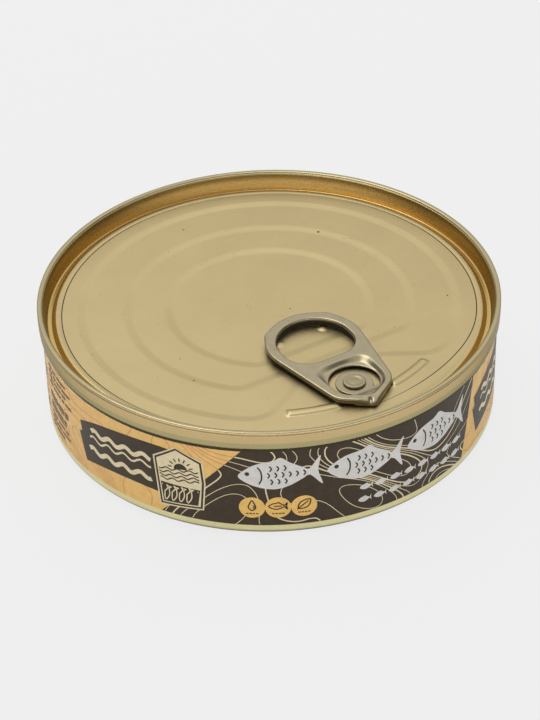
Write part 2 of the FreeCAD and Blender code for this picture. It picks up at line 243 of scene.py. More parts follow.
ochre_ink = printing_ink("litho_ochre_base", "#EBBF74")
dark_ink = printing_ink("litho_dark_brown", "#392B19", 0.35)
cream_ink = printing_ink("litho_cream", "#E3D3AC")
grey_ink = printing_ink("litho_light_grey", "#D8D5D0")


def split_edges(outline, longest=1.0):
    """Closed outline with its long edges split."""
    out = []
    for a, b in zip(outline, np.roll(outline, -1, 0)):
        count = max(1, math.ceil(np.linalg.norm(b - a) / longest))
        out += [a + (b - a) * k / count for k in range(count)]
    return np.array(out)


def film(name, outlines, layer, ink):
    """One ink: outlines in millimetres round the wall and height, filled and wrapped."""
    points, faces = [], []
    for outline in outlines:
        rim = split_edges(np.asarray(outline, float))
        low, high = rim.min(0), rim.max(0)
        inner = [(x, y) for x in np.arange(low[0] + 0.7, high[0], 1.5)
                 for y in np.arange(low[1] + 0.7, high[1], 3.0)]
        given = [Vector(p) for p in rim.tolist()] + [Vector(p) for p in inner]
        found, _, filled, *_ = delaunay_2d_cdt(given, [], [list(range(len(rim)))], 1, 1e-5)
        first = len(points)
        points += [tuple(v) for v in found]
        faces += [[first + i for i in face] for face in filled]
    mesh_piece(name, wrap(points, layer), faces, ink)


def ring_film(name, low, high, rows, layer, ink):
    """One ink all the way round the wall, between two heights."""
    line = np.array([[WALL_RADIUS + layer * INK, z] for z in np.linspace(low, high, rows)])
    mesh_piece(name, turned_points(line, TURNS), grid_faces(rows, TURNS), ink)


ring_film("print_base_coat", PRINT_FOOT, PRINT_TOP, 9, 1, ochre_ink)
# painted shadow: a dark ring under the seam's foot stands in for the shade in the gap there
ring_film("print_painted_seam_shadow", SEAM_FOOT - 0.98, PRINT_TOP, 2, MARKS,
          printing_ink("painted_seam_shadow_ink", "#33280A"))


def slanting_field(left, right):
    """Field between two edges, each given in degrees at its foot and at its top."""
    return np.array([at(left[0], PRINT_FOOT), at(right[0], PRINT_FOOT),
                     at(right[1], PRINT_TOP), at(left[1], PRINT_TOP)])


fields = [slanting_field((start + 27.2, start + 48.6), (start + 109.3, start + 114.6)) for start in PANELS]
fields.append(slanting_field((94.0, 101.0), (137.0, 144.0)))
film("print_dark_fields", fields, FIELD, dark_ink)


def smooth_curve(points, closed=True, steps=6):
    """Catmull-Rom curve through points."""
    points = np.asarray(points, float)
    if not closed:
        points = np.vstack([2 * points[0] - points[1], points, 2 * points[-1] - points[-2]])
    count = len(points)
    out = []
    for i in (range(count) if closed else range(1, count - 2)):
        p, q, r, t = (points[(i + k) % count] for k in (-1, 0, 1, 2))
        for u in np.arange(steps) / steps:
            out.append(0.5 * (2 * q + (r - p) * u + (2 * p - 5 * q + 4 * r - t) * u ** 2
                              + (3 * q - p - 3 * r + t) * u ** 3))
    if not closed:
        out.append(points[-2])
    return np.array(out)


banner_foot = smooth_curve([(2.7, 5.9), (7.5, 6.9), (13.5, 7.7), (21.5, 8.0), (32.5, 7.3)], False, 3)
banner_top = smooth_curve([(32.5, 19.4), (27.5, 20.1), (17.5, 19.7), (8.0, 18.2), (1.1, 16.0)], False, 3)
banner = banner_foot.tolist() + banner_top.tolist() + [(1.6, 13.3), (0.4, 12.9)]
film("print_banners", [[at(start + angle, z) for angle, z in banner] for start in PANELS], FIELD, dark_ink)

# ------------------------ print: lines
# Fine lines in cream and rose ink: three wavy bands on each banner, and
# contour lines over the whole wall, cream on the dark fields and rose on the
# ochre. The contours are levels of one random height field round the tin.


def strokes(name, lines, widths, layer, ink):
    """Printed lines of even width along chains of points."""
    points, faces = [], []
    for line, width in zip(lines, widths):
        line = np.asarray(line, float)
        run = np.gradient(line, axis=0)
        if np.linalg.norm(line[0] - line[-1]) < 1e-6:
            run[0] = run[-1] = line[1] - line[-2]
        run /= np.linalg.norm(run, axis=1)[:, None] + 1e-12
        side = np.stack([-run[:, 1], run[:, 0]], -1) * width / 2
        first = len(points)
        points += [p for pair in zip(line - side, line + side) for p in pair]
        faces += [[first + 2 * i + k for k in (0, 2, 3, 1)] for i in range(len(line) - 1)]
    mesh_piece(name, wrap(points, layer), faces, ink)


def wave_line(start, end, height, rise):
    """Rising sine wave between two angles."""
    around = np.arange(start * MM_PER_DEGREE, end * MM_PER_DEGREE, 0.15)
    part = (around - around[0]) / (around[-1] - around[0])
    swing = 0.55 * np.sin((around - around[0]) * 2 * math.pi / 4.6)
    return np.stack([around, height + rise * part + swing], -1)


bands = [wave_line(start + first, start + 25.0, height, rise) for start in PANELS
         for first, height, rise in ((5.6, 15.3, 0.8), (5.0, 13.4, 0.8), (4.6, 10.3, 0.6))]
strokes("print_banner_waves", bands, [1.1, 0.5, 1.1] * len(PANELS), SHAPES, cream_ink)

rng = np.random.default_rng(7)
CELL = 0.5                                     # grid of the height field, in millimetres
turn_cells = round(360 * MM_PER_DEGREE / CELL)
around, upward = np.meshgrid(np.arange(turn_cells + 1) * 2 * math.pi / turn_cells,
                             np.arange(PRINT_FOOT - 1, PRINT_TOP + 1.5, CELL), indexing="ij")
relief = np.zeros(around.shape)
for _ in range(26):
    lobes = int(rng.integers(2, 19))
    tall = rng.uniform(-1, 1) * 2 * math.pi / rng.uniform(16, 40)
    relief += rng.normal() / (1 + lobes / 7) * np.cos(
        lobes * around + tall * upward + rng.uniform(0, 2 * math.pi) + 1.2 * np.sin(3 * around + upward / 7))
relief = np.tanh(0.75 * relief / relief.std())


def contour(values, level):
    """Chains of grid points where a field crosses a level."""
    high = values > level
    links = {}
    crossed = np.argwhere(~((high[:-1, :-1] == high[1:, :-1]) & (high[:-1, 1:] == high[1:, 1:])
                            & (high[:-1, :-1] == high[:-1, 1:])))
    for i, j in crossed.tolist():
        sides = [(i, j, 0), (i + 1, j, 1), (i, j + 1, 0), (i, j, 1)]
        cut = [e for e in sides if high[e[0], e[1]] != high[e[0] + (e[2] == 0), e[1] + (e[2] == 1)]]
        for a, b in zip(cut[::2], cut[1::2]):
            links.setdefault(a, []).append(b)
            links.setdefault(b, []).append(a)
    chains, seen = [], set()
    for first in sorted(links, key=lambda e: (len(links[e]), e)):
        if first in seen:
            continue
        chain, here = [first], first
        seen.add(first)
        while True:
            ahead = [e for e in links[here] if e not in seen]
            if not ahead:
                if len(chain) > 2 and first in links[here]:
                    chain.append(first)
                break
            here = ahead[0]
            seen.add(here)
            chain.append(here)
        spots = []
        for i, j, kind in chain:
            a, b = values[i, j], values[i + (kind == 0), j + (kind == 1)]
            part = (level - a) / (b - a)
            spots.append((i + part * (kind == 0), j + part * (kind == 1)))
        if len(spots) > 3:
            chains.append(np.array(spots))
    return chains


def inside_print(points, field=None):
    """Whether points lie between the print's foot and top, and within a slanting field."""
    inside = (points[:, 1] > PRINT_FOOT) & (points[:, 1] < PRINT_TOP)
    if field is not None:
        left = np.interp(points[:, 1], [field[0][1], field[3][1]], [field[0][0], field[3][0]])
        right = np.interp(points[:, 1], [field[1][1], field[2][1]], [field[1][0], field[2][0]])
        inside &= (points[:, 0] > left) & (points[:, 0] < right)
    return inside


def clipped(line, field=None):
    """Stretches of a line inside the print, with fine steps so that they end cleanly."""
    fine = smooth_curve(line, closed=False, steps=4)
    keep = inside_print(fine, field)
    cuts = np.flatnonzero(np.diff(keep.astype(int))) + 1
    return [part for part, good in zip(np.split(fine, cuts), keep[np.concatenate([[0], cuts])])
            if good and len(part) > 4]


cream_lines, cream_widths, rose_lines = [], [], []
for number, level in enumerate(np.arange(-0.9, 0.95, 0.3)):
    for chain in contour(relief, level):
        degrees_round = chain[:, 0] * 2 * math.pi / turn_cells / DEGREE
        line = np.stack([degrees_round * MM_PER_DEGREE - 180 * MM_PER_DEGREE,
                         PRINT_FOOT - 1 + chain[:, 1] * CELL], -1)
        line = line[::2] if len(line) > 12 else line
        for field in fields:
            parts = clipped(line, field)
            cream_lines += parts
            cream_widths += [0.30 if number % 3 == 1 else 0.16] * len(parts)
        rose_lines += clipped(line)
strokes("print_contours_rose", rose_lines, [0.22] * len(rose_lines), ROSE,
        printing_ink("litho_rose", "#D5965F"))
strokes("print_contours_cream", cream_lines, cream_widths, LINES, cream_ink)

# ------------------------ print: fish and badges
# Plain shapes on the dark fields: three fish in light grey ink with dark gill
# and scale lines, two rows of small fry below them, and three round yellow
# badges with a drop, a fish and a leaf.

FISH = np.array([(-0.50, 0.0), (-0.43, 0.17), (-0.28, 0.35), (-0.08, 0.43), (0.02, 0.52), (0.12, 0.36),
                 (0.27, 0.17), (0.35, 0.10), (0.49, 0.44), (0.45, 0.0), (0.49, -0.44), (0.35, -0.10),
                 (0.27, -0.17), (0.10, -0.35), (-0.08, -0.43), (-0.28, -0.34), (-0.43, -0.17)])
FISH_SIZE, FRY_SIZE, BADGE_FISH_SIZE = (17.6, 8.6), (3.1, 1.7), (3.9, 1.9)
BADGE_RADIUS = 2.75


def placed(shape, centre, size=(1, 1), lean=0.0):
    """Shape in unit proportions, sized in millimetres, leaned and set at a place."""
    spots = np.asarray(shape, float) * np.asarray(size)
    c, s = math.cos(lean * DEGREE), math.sin(lean * DEGREE)
    turned = np.stack([spots[:, 0] * c - spots[:, 1] * s, spots[:, 0] * s + spots[:, 1] * c], -1)
    return np.asarray(centre) + turned


def disc_outline(centre, radius, sides):
    """Circle as a closed outline."""
    turn = np.linspace(0, 2 * math.pi, sides, endpoint=False)
    return np.asarray(centre) + radius * np.stack([np.cos(turn), np.sin(turn)], -1)


def closed_line(outline):
    """Outline as a line that ends where it starts."""
    return np.vstack([outline, outline[:1]])


fish, fish_eyes, fish_lines, fry = [], [], [], []
for start in PANELS:
    for angle, height, lean in ((57.0, 16.3, 3), (78.2, 15.9, -2), (99.4, 16.3, 2)):
        spot = at(start + angle, height)
        fish.append(placed(smooth_curve(FISH), spot, FISH_SIZE, lean))
        eye = placed([(-0.39, 0.07)], spot, FISH_SIZE, lean)[0]
        fish_eyes.append(disc_outline(eye, 0.5, 20))
        marks = [[(-0.26, 0.27), (-0.225, 0.12), (-0.225, -0.1), (-0.26, -0.25)]]
        for row, (first, last) in zip((0.2, 0.0, -0.2), ((-0.12, 0.12), (-0.15, 0.30), (-0.12, 0.12))):
            marks += [[(x, row + 0.08), (x + 0.022, row), (x, row - 0.08)]
                      for x in np.arange(first, last, 0.085)]
        fish_lines += [placed(smooth_curve(mark, closed=False), spot, FISH_SIZE, lean) for mark in marks]
    for height, (first, last) in ((9.6, (78.0, 107.0)), (6.3, (77.6, 108.0))):
        fry += [placed(smooth_curve(FISH, steps=4), at(start + angle, height), FRY_SIZE, 2)
                for angle in np.arange(first, last, 4.1)]
film("print_fish", fish, SHAPES, grey_ink)
film("print_fish_eyes", fish_eyes, DETAILS, dark_ink)
strokes("print_fish_scales", fish_lines, [FISH_LINE] * len(fish_lines), DETAILS, dark_ink)
film("print_fry", fry, SHAPES, grey_ink)

DROP = [(0, 1.5), (0.62, 0.35), (0.75, -0.45), (0, -1.15), (-0.75, -0.45), (-0.62, 0.35)]
LEAF = [(-1.2, -0.9), (-0.9, 0.5), (0.1, 1.2), (1.3, 1.3), (1.2, 0.1), (0.4, -0.8)]
BADGES = ((50.1, DROP, smooth_curve([(0.3, -0.6), (0.42, -0.2), (0.32, 0.2)], closed=False)),
          (56.3, FISH * BADGE_FISH_SIZE, [(-0.9, 0.0), (0.8, 0.0)]),
          (62.5, LEAF, smooth_curve([(-1.5, -1.2), (-0.3, -0.1), (0.9, 0.9)], closed=False)))
badges, icons, dashes = [], [], []
for start in PANELS:
    for angle, outline, inner_line in BADGES:
        spot = at(start + angle, 7.6)
        badges.append(disc_outline(spot, BADGE_RADIUS, 48))
        icons += [closed_line(placed(smooth_curve(outline), spot + (0, 0.35))),
                  placed(inner_line, spot + (0, 0.35))]
        dashes += [spot + np.array([(x, -1.75), (x + 0.5, -1.75), (x + 0.5, -1.45), (x, -1.45)])
                   for x in (-1.3, -0.6, 0.1, 0.8)]
film("print_badges", badges, SHAPES, printing_ink("litho_badge_yellow", "#EBBE6A"))
strokes("print_badge_icons", icons, [0.3] * len(icons), DETAILS, dark_ink)
film("print_badge_dashes", dashes, DETAILS, dark_ink)

# ------------------------ print: emblem
# A tablet in cream ink with a dark line inside its edge, between the banner
# and the dark field: a low sun over waves, and a shoal on a dark foot.

EMBLEM_LEAN = 5


def tablet(inset):
    """Outline of the tablet drawn in by an inset: gabled top, slanting foot."""
    wide, tall = 5.7 - inset, 7.9 - inset
    corners = [(-wide, -tall), (wide * 0.78, -tall), (wide, -tall * 0.1), (wide, tall * 0.62),
               (0.0, tall * 1.02), (-wide, tall * 0.62)]
    return split_edges(np.array(corners), 1.2)


tablets = {0.0: [], 0.35: [], 0.8: []}
emblem_fills, emblem_dark, emblem_cream = [], [], []
half_turn = np.linspace(0, math.pi, 16)
for start in PANELS:
    spot = at(start + 32.6, 13.0)
    sun_spot = spot + (0.3, 2.4)
    for inset in tablets:
        tablets[inset].append(placed(tablet(inset), spot, lean=EMBLEM_LEAN))
    for shape, where in (([(-4.6, -6.8), (3.3, -6.8), (4.3, -2.6), (-4.6, -1.6)], spot),
                         (1.5 * np.stack([np.cos(half_turn), np.sin(half_turn)], -1), sun_spot)):
        emblem_fills.append(placed(shape, where, lean=EMBLEM_LEAN))
    for ray in np.linspace(12, 168, 7) * DEGREE:
        way = np.array([math.cos(ray), math.sin(ray)])
        emblem_dark.append(placed([way * 2.0, way * 2.9], sun_spot, lean=EMBLEM_LEAN))
    for row, reach in ((2.1, 4.6), (1.2, 4.6), (0.3, 4.6), (-0.6, 4.5)):
        x = np.arange(-reach, reach, 0.2)
        wave = np.stack([x, row + 0.28 * np.sin(x * 2.4 + row)], -1)
        emblem_dark.append(placed(wave, spot, lean=EMBLEM_LEAN))
    for x in (-3.4, -1.7, 0.0, 1.7):
        swimmer = placed(smooth_curve(FISH, steps=4), (x, -4.4), (4.0, 1.25), 72)
        emblem_cream.append(closed_line(placed(swimmer, spot, lean=EMBLEM_LEAN)))
    emblem_cream.append(placed([(-4.5, -2.3), (3.9, -3.1)], spot, lean=EMBLEM_LEAN))
for name, inset, layer, ink in (("print_emblem_edge", 0.0, SHAPES, cream_ink),
                                ("print_emblem_line", 0.35, DETAILS, dark_ink),
                                ("print_emblem_ground", 0.8, INNER, cream_ink)):
    film(name, tablets[inset], layer, ink)
film("print_emblem_foot", emblem_fills, MARKS, dark_ink)
strokes("print_emblem_waves", emblem_dark, [0.3] * len(emblem_dark), MARKS, dark_ink)
strokes("print_emblem_shoal", emblem_cream, [0.26] * len(emblem_cream), MARKS + 1, cream_ink)

# ------------------------ print: small print
# The plain parts of the label carry small print. It is drawn as rows of plain
# bars, dark on the ochre and cream on the dark field at the back.


def bars(first, last, heights, thick):
    """Rows of plain bars of random length between two angles."""
    out = []
    for z in heights:
        x, end = first * MM_PER_DEGREE, last * MM_PER_DEGREE - rng.uniform(0, 3)
        while x < end - 1:
            long = min(rng.uniform(1.2, 5.0), end - x)
            out.append(np.array([(x, z), (x + long, z), (x + long, z + thick), (x, z + thick)]))
            x += long + 0.55
    return out


small_print = bars(-193.5, -178.5, np.arange(15.4, 21, 1.5), 0.6) + bars(-193.5, -179.5, (11.7, 9.0), 1.5)
small_print += bars(-193.5, -180.5, np.arange(4.6, 8, 1.4), 0.55)
small_print += bars(147.0, 163.0, np.arange(4.6, 21, 1.4), 0.5)
small_print += bars(57.0, 88.0, np.arange(4.6, 21, 1.4), 0.5)
film("print_small_bars", small_print, SHAPES, printing_ink("litho_small_print", "#6B5334"))
light_print = bars(101.0, 134.0, np.arange(14.0, 20.5, 1.6), 0.6)
light_print += bars(99.0, 125.0, np.arange(5.0, 9.0, 1.5), 0.6)
film("print_light_bars", light_print, SHAPES, cream_ink)

# ------------------------ lid
# Easy-open end stamped from gold-lacquered tinplate: three shallow steps for
# stiffness, a score line, two ribs beside the nose of the tab and two dimples
# under its ring. Its curl is rolled over the can body's flange as a double seam.

SEAM_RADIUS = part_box("lid")[1].x / MM
PANEL_Z, GROOVE_Z = HEIGHT - 3.6, HEIGHT - 4.45     # panel, and floor of the countersink groove
PANEL_RADIUS, LIP = 47.25, 0.09                     # the panel's edge turns up before the groove
STEP_DROP, STEP_SLOPE = 0.17, 1.9                   # each step: its drop, and how wide its slope is
SCORE_RADIUS = 45.9
RIB_RADIUS, RIB_HALF, RIB_HEIGHT = 40, 1.12, 0.42
RIB_START, RIB_END = 9.5, 25.5                      # degrees from the tab's axis
DIMPLE_ALONG, DIMPLE_ACROSS, DIMPLE_RADIUS, DIMPLE_HEIGHT = 13.4, 5.7, 1.55, 0.30


def round_the_tab():
    """Angles round the lid, from the tab's axis; closer together beside the nose."""
    near = np.arange(-34.0, 34.0, 0.5)
    far = np.linspace(34.0, 326.0, 288, endpoint=False)
    return np.concatenate([near, far]) * DEGREE


def score_line(angle):
    """Distance of the score line from the axis: a circle, flatter under the nose."""
    shift, flatter = 10.3, 53.75
    nose = -shift * np.cos(angle) + np.sqrt(flatter ** 2 - (shift * np.sin(angle)) ** 2)
    gap = (SCORE_RADIUS - nose) / 0.5
    return SCORE_RADIUS - 0.5 * np.logaddexp(0, gap)


def rounded_depth(along, across, edges, corner_at, corner, low, high):
    """Depth inside edges that meet at a rounded corner, between two angles from its centre."""
    off_along, off_across = along - corner_at[0], np.abs(across) - corner_at[1]
    turn = np.arctan2(off_across, off_along)
    return np.where((turn > low) & (turn < high), corner - np.hypot(off_along, off_across),
                    np.minimum(*edges))


def flatted_step(along, across, radius, chord, corner):
    """Depth inside a circle that is cut off by a straight chord under the tab."""
    reach, flat = radius - corner, chord - corner
    centre = (flat, math.sqrt(reach ** 2 - flat ** 2))
    edges = (radius - np.hypot(along, across), chord - along)
    return rounded_depth(along, across, edges, centre, corner, 0, math.atan2(centre[1], centre[0]))


def notched_step(along, across):
    """The outer step: a circle with a wide notch for the rivet end of the tab."""
    radius, chord, flank_at, corner, fillet = 42.55, 29.4, 9.6, 7.6, 4.0
    slant = 60 * DEGREE
    normal = (math.sin(slant), -math.cos(slant))
    offset = chord * normal[0] + flank_at * normal[1]
    wide = np.abs(across)
    flank = offset + fillet - along * normal[0] - wide * normal[1]
    knee = (chord + fillet, (normal[0] * (chord + fillet) - offset - fillet) / -normal[1])
    past = (along - knee[0]) * math.cos(slant) + (wide - knee[1]) * math.sin(slant)
    notch = np.where(wide < knee[1], knee[0] - along,
                     np.where(past > 0, flank, np.hypot(along - knee[0], wide - knee[1]))) - fillet
    depth = offset - corner
    run = math.sqrt((radius - corner) ** 2 - depth ** 2)
    centre = (depth * normal[0] + run * math.cos(slant), depth * normal[1] + run * math.sin(slant))
    return rounded_depth(along, across, (radius - np.hypot(along, across), notch), centre, corner,
                         math.atan2(normal[1], normal[0]), math.atan2(centre[1], centre[0]))


def soft_ramp(depth, width, blend=0.35):
    """0 at the outline, 1 a width inside it, with blended ends."""
    def area(x):
        x = np.maximum(x, 0)
        return np.where(x < width, x ** 2 / (2 * width), x - width / 2)
    return (area(depth + blend / 2) - area(depth - blend / 2)) / blend


def panel_height(along, across):
    """The pressed panel of the lid, as height above the base."""
    z = np.full(along.shape, PANEL_Z)
    z -= STEP_DROP * soft_ramp(notched_step(along, across), 1.85, 0.25)
    z -= STEP_DROP * soft_ramp(flatted_step(along, across, 32.4, 24.2, 5.2), STEP_SLOPE)
    z -= STEP_DROP * soft_ramp(flatted_step(along, across, 23.2, 18.9, 4.4), STEP_SLOPE)
    turn = np.abs(np.arctan2(across, along))
    past_end = RIB_RADIUS * np.maximum(RIB_START * DEGREE - turn, turn - RIB_END * DEGREE)
    off_rib = np.clip(np.abs(np.hypot(along, across) - RIB_RADIUS) / RIB_HALF, 0, 1.15)
    z += RIB_HEIGHT * np.maximum(1 - off_rib ** 2, 0) ** 0.6 * np.clip(0.5 - past_end / 0.7, 0, 1)
    off_dimple = np.hypot(along - DIMPLE_ALONG, np.abs(across) - DIMPLE_ACROSS) / DIMPLE_RADIUS
    z += DIMPLE_HEIGHT * np.clip(1 - off_dimple ** 2, 0, 1) ** 1.5
    # the sheet is never quite flat after stamping
    z += 0.012 * np.sin(along / 9.1 + 0.6) * np.sin(across / 11.3 + 1.1)
    z += 0.006 * np.sin((along + across) / 5.3) * np.sin((along - across) / 6.7 + 2.0)
    return z


angles = round_the_tab()
score = score_line(angles)
radii = np.concatenate([np.linspace(0.02, 12.0, 9), np.arange(12.3, 38.0, 0.32), np.arange(38.0, 45.2, 0.22)])
rings = [score * r / SCORE_RADIUS for r in radii]
rings += [score + off for off in (-0.42, -0.25, -0.15, -0.09, -0.04, 0.0, 0.04, 0.09, 0.15, 0.25)]
rings += [(score + 0.25) * (1 - s) + (PANEL_RADIUS - 0.5) * s for s in np.linspace(0.12, 1, 9)]
rings = np.array(rings)
along, across = rings * np.cos(angles), rings * np.sin(angles)
heights = panel_height(along, across)
edge = np.clip((rings - (PANEL_RADIUS - 1.3)) / 0.8, 0, 1)
heights += (PANEL_Z + LIP - heights) * edge * edge * (3 - 2 * edge)

# from the panel down into the groove, up the chuck wall, over the crown and down the seam
rim = rounded_line([
    (PANEL_RADIUS - 0.5, PANEL_Z + LIP, 0), (PANEL_RADIUS, PANEL_Z + LIP, 0.45), (48.05, GROOVE_Z, 0.4),
    (49.12, GROOVE_Z, 0.38), (49.83, HEIGHT - 1.5, 12.0), (49.91, HEIGHT, 0.5),
    (SEAM_RADIUS - 0.02, HEIGHT, 0.32), (SEAM_RADIUS - 0.02, HEIGHT - 0.48, 0),
    (SEAM_RADIUS - 0.15, HEIGHT - 0.60, 0.05), (SEAM_RADIUS - 0.01, HEIGHT - 0.74, 0.1),
    (SEAM_RADIUS, HEIGHT - 1.7, 2.0), (SEAM_RADIUS - 0.03, HEIGHT - 2.9, 2.0),
    (SEAM_RADIUS - 0.12, SEAM_FOOT, 0.4), (49.6, SEAM_FOOT, 0), (49.55, UNDER_LID + 0.1, 0)], 6)
rim = fine_profile(rim, 0.9)[1:]
rim = np.concatenate([rim, [[radius, UNDER_LID + 0.1] for radius in (40.0, 20.0, 0.02)]])
panel_points = np.stack([across, -along, heights], -1)
rim_points = np.stack([rim[:, :1] * np.sin(angles), -rim[:, :1] * np.cos(angles),
                       np.broadcast_to(rim[:, 1:], (len(rim), len(angles)))], -1)
lid_points = np.concatenate([panel_points, rim_points]).reshape(-1, 3)


def grey(level):
    """Grey of a linear level."""
    return level, level, level, 1.0


def lacquered_tinplate(name, edge_tint, rough, coat_share, painted_shade_stops):
    """Clear gold lacquer roller-coated on bright tinplate: satin, and amber where it lies
    thicker in the groove or where the metal mirrors itself; darker and greener towards the
    seam's foot; and painted shade inside the rim, set by depth below the crown."""
    material, tree, tint, place = mottled_finish(
        name, "#C1AF82", rough, 9.0, 0.5, 0.06, Metallic=1.0, Coat_Weight=coat_share,
        Coat_Roughness=0.3, Specular_Tint=linear(edge_tint))
    split = add_node(tree, "SeparateXYZ", {}, {"Vector": place.outputs["Object"]})
    flat = add_node(tree, "CombineXYZ", {}, {"X": split.outputs["X"], "Y": split.outputs["Y"]})
    from_axis = add_node(tree, "VectorMath", {"operation": "LENGTH"}, {0: flat})
    outside = add_node(tree, "Math", {"operation": "GREATER_THAN", 1: 50.6 * MM},
                       {0: from_axis.outputs["Value"]})

    # the lacquer's colour by distance from the axis: panel, groove and chuck wall, crown, seam
    outward = add_node(tree, "MapRange", {"From Min": 46 * MM, "From Max": 52 * MM},
                       {"Value": from_axis.outputs["Value"]})
    coat = add_node(tree, "ValToRGB", {"stops": [
        ((radius - 46) / 6, linear(colour)) for radius, colour in (
            (46.9, "#C1AF82"), (47.5, "#CBAB66"), (49.1, "#D9B66E"), (49.75, "#D9B66E"),
            (50.05, "#B1A47E"), (50.9, "#B5A881"), (51.1, "#CFB581"))]}, {"Fac": outward})
    # painted shade inside the rim: the colour is darkened by depth below the crown
    downward = add_node(tree, "MapRange", {"From Min": HEIGHT * MM, "From Max": (HEIGHT - 5) * MM},
                        {"Value": split.outputs["Z"]})
    painted_recess_shade = add_node(tree, "ValToRGB", {"stops": [(below / 5, grey(level)) for below, level in painted_shade_stops]},
                     {"Fac": downward})
    inside_only = add_node(tree, "Math", {"operation": "MAXIMUM"}, {0: painted_recess_shade, 1: outside})
    # the seam's outside turns darker and greener towards its foot
    low, high = (SEAM_FOOT + 1.45) * MM, (SEAM_FOOT + 1.75) * MM
    near_foot = add_node(tree, "MapRange", {"From Min": high, "From Max": low},
                         {"Value": split.outputs["Z"]})
    foot = add_node(tree, "Math", {"operation": "MULTIPLY"}, {0: near_foot, 1: outside})
    seam_foot_tint = add_node(tree, "Mix", {"data_type": "RGBA", 7: linear("#B3A876")},
                         {0: foot, 6: coat})
    shaded = add_node(tree, "HueSaturation", {},
                      {"Color": seam_foot_tint.outputs[2], "Value": inside_only})
    tree.links.new(shaded.outputs["Color"], tint.inputs["Color"])
    return material


lid = mesh_piece("lid_sheet", lid_points, grid_faces(len(rings) + len(rim), len(angles)),
                 lacquered_tinplate("gold_lacquered_tinplate", "#E6DCC4", 0.42, 0.2, [(0, 1), (5, 1)]))
# the chuck wall is ironed by the seaming chuck: glossier, and duller at a glancing angle;
# its levels by depth below the crown are painted shade, dark just under the crown and again low on the wall
lid.data.materials.append(lacquered_tinplate(
    "gold_lacquered_chuck_wall", "#94988C", 0.29, 0.5,
    [(0.4, 1), (0.6, 0.54), (1.1, 0.58), (2.1, 0.87), (3.0, 0.72), (3.8, 0.62), (4.3, 0.9)]))
first_wall = len(rings) + int(np.argmax(rim[:, 0] > 47.6))
for face in lid.data.polygons:
    if min(face.vertices) >= first_wall * len(angles):
        face.material_index = 1
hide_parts("lid")

# the score: a dark strip of painted shade along the score line, strongest at the two sides and fading out
# between
SCORE_SHADE_TURNS = 720
score_shade_turn = np.linspace(0, 2 * math.pi, SCORE_SHADE_TURNS, endpoint=False)
score_shade_share = np.clip(2.2 * np.abs(np.cos(score_shade_turn - 60 * DEGREE)) - 0.75, 0, 1)
score_shade_points = []
for side in (-1, 1):
    score_shade_ring = score_line(score_shade_turn) + side * 0.12 * score_shade_share
    score_shade_along, score_shade_across = score_shade_ring * np.cos(score_shade_turn), score_shade_ring * np.sin(score_shade_turn)
    score_shade_points.append(np.stack([score_shade_across, -score_shade_along, panel_height(score_shade_along, score_shade_across) + 0.004], -1))
score_shade_faces = [face for face in grid_faces(2, SCORE_SHADE_TURNS) if score_shade_share[face[0]] + score_shade_share[face[1]] > 0]
mesh_piece("score_painted_shade", np.concatenate(score_shade_points), score_shade_faces,
           mottled_finish("score_shade_paint", "#4B4232", 0.5, 0.3, 0.2, 0.2, 0.3, Metallic=1.0)[0])

# ------------------------ rivet
# Drawn up from the lid's own sheet and headed over the tongue of the tab, with
# a ring coined into its head; heading has rubbed the gold lacquer to grey.

RIVET_ALONG = 35.1


def rolled_steel(name, colour, rough):
    """Bright tin-plated steel: neutral grey, satin from the rolls, with a fine mottle."""
    return mottled_finish(name, colour, rough, 2.0, 0.4, 0.14, 0.06, Metallic=1.0)[0]


TONGUE_TOP = PANEL_Z + 0.42
SHANK_RADIUS, HEAD_RADIUS = 1.6, 2.45
rivet_line = fine_profile(rounded_line([
    (0.01, TONGUE_TOP + 0.49, 0), (0.75, TONGUE_TOP + 0.47, 0.4), (1.1, TONGUE_TOP + 0.43, 0.3),
    (1.5, TONGUE_TOP + 0.43, 0.2), (1.75, TONGUE_TOP + 0.55, 0.25), (HEAD_RADIUS, TONGUE_TOP + 0.55, 0.26),
    (HEAD_RADIUS, TONGUE_TOP + 0.02, 0.1), (SHANK_RADIUS, TONGUE_TOP + 0.02, 0),
    (SHANK_RADIUS, PANEL_Z - 0.1, 0), (0.01, PANEL_Z - 0.1, 0)]), 0.4)
mesh_piece("lid_rivet", turned_points(rivet_line, 72) + (0, -RIVET_ALONG, 0),
           grid_faces(len(rivet_line), 72), rolled_steel("rubbed_tinplate", "#A09577", 0.40))

# ------------------------ pull tab
# Stamped from bright tin-plated steel strip. Its edges are curled under, which
# makes the thick smooth rim; the dish round the rivet is pressed down, and a
# C-shaped slit frees the tongue that the rivet holds.


def outline_distance(outline, along, across):
    """Signed distance to a closed outline, negative inside, for grids of points."""
    points = np.stack([along.ravel(), across.ravel()], -1)
    best = np.full(len(points), 1e9)
    inside = np.zeros(len(points), bool)
    for a, b in zip(outline, np.roll(outline, -1, 0)):
        run = b - a
        part = np.clip(((points - a) @ run) / (run @ run + 1e-12), 0, 1)
        best = np.minimum(best, np.hypot(*(points - a - part[:, None] * run).T))
        crosses = (a[1] > points[:, 1]) != (b[1] > points[:, 1])
        crossing = a[0] + (points[:, 1] - a[1]) * run[0] / (run[1] if abs(run[1]) > 1e-12 else 1e-12)
        inside ^= crosses & (points[:, 0] < crossing)
    return np.where(inside, -best, best).reshape(along.shape)


TAB_FOOT = PANEL_Z + 0.45
TAB_TOP = TAB_FOOT + 1.35
RING_CENTRE, RING_RADIUS, RING_BAND = 19.3, 10.8, 2.45
SHOULDER_ALONG, SHOULDER_ACROSS = 39.3, 7.3
NOSE_ALONG = 44.2
DISH_DEPTH, BEAK_DROOP, EDGE_DROP = 0.84, 0.75, 0.75


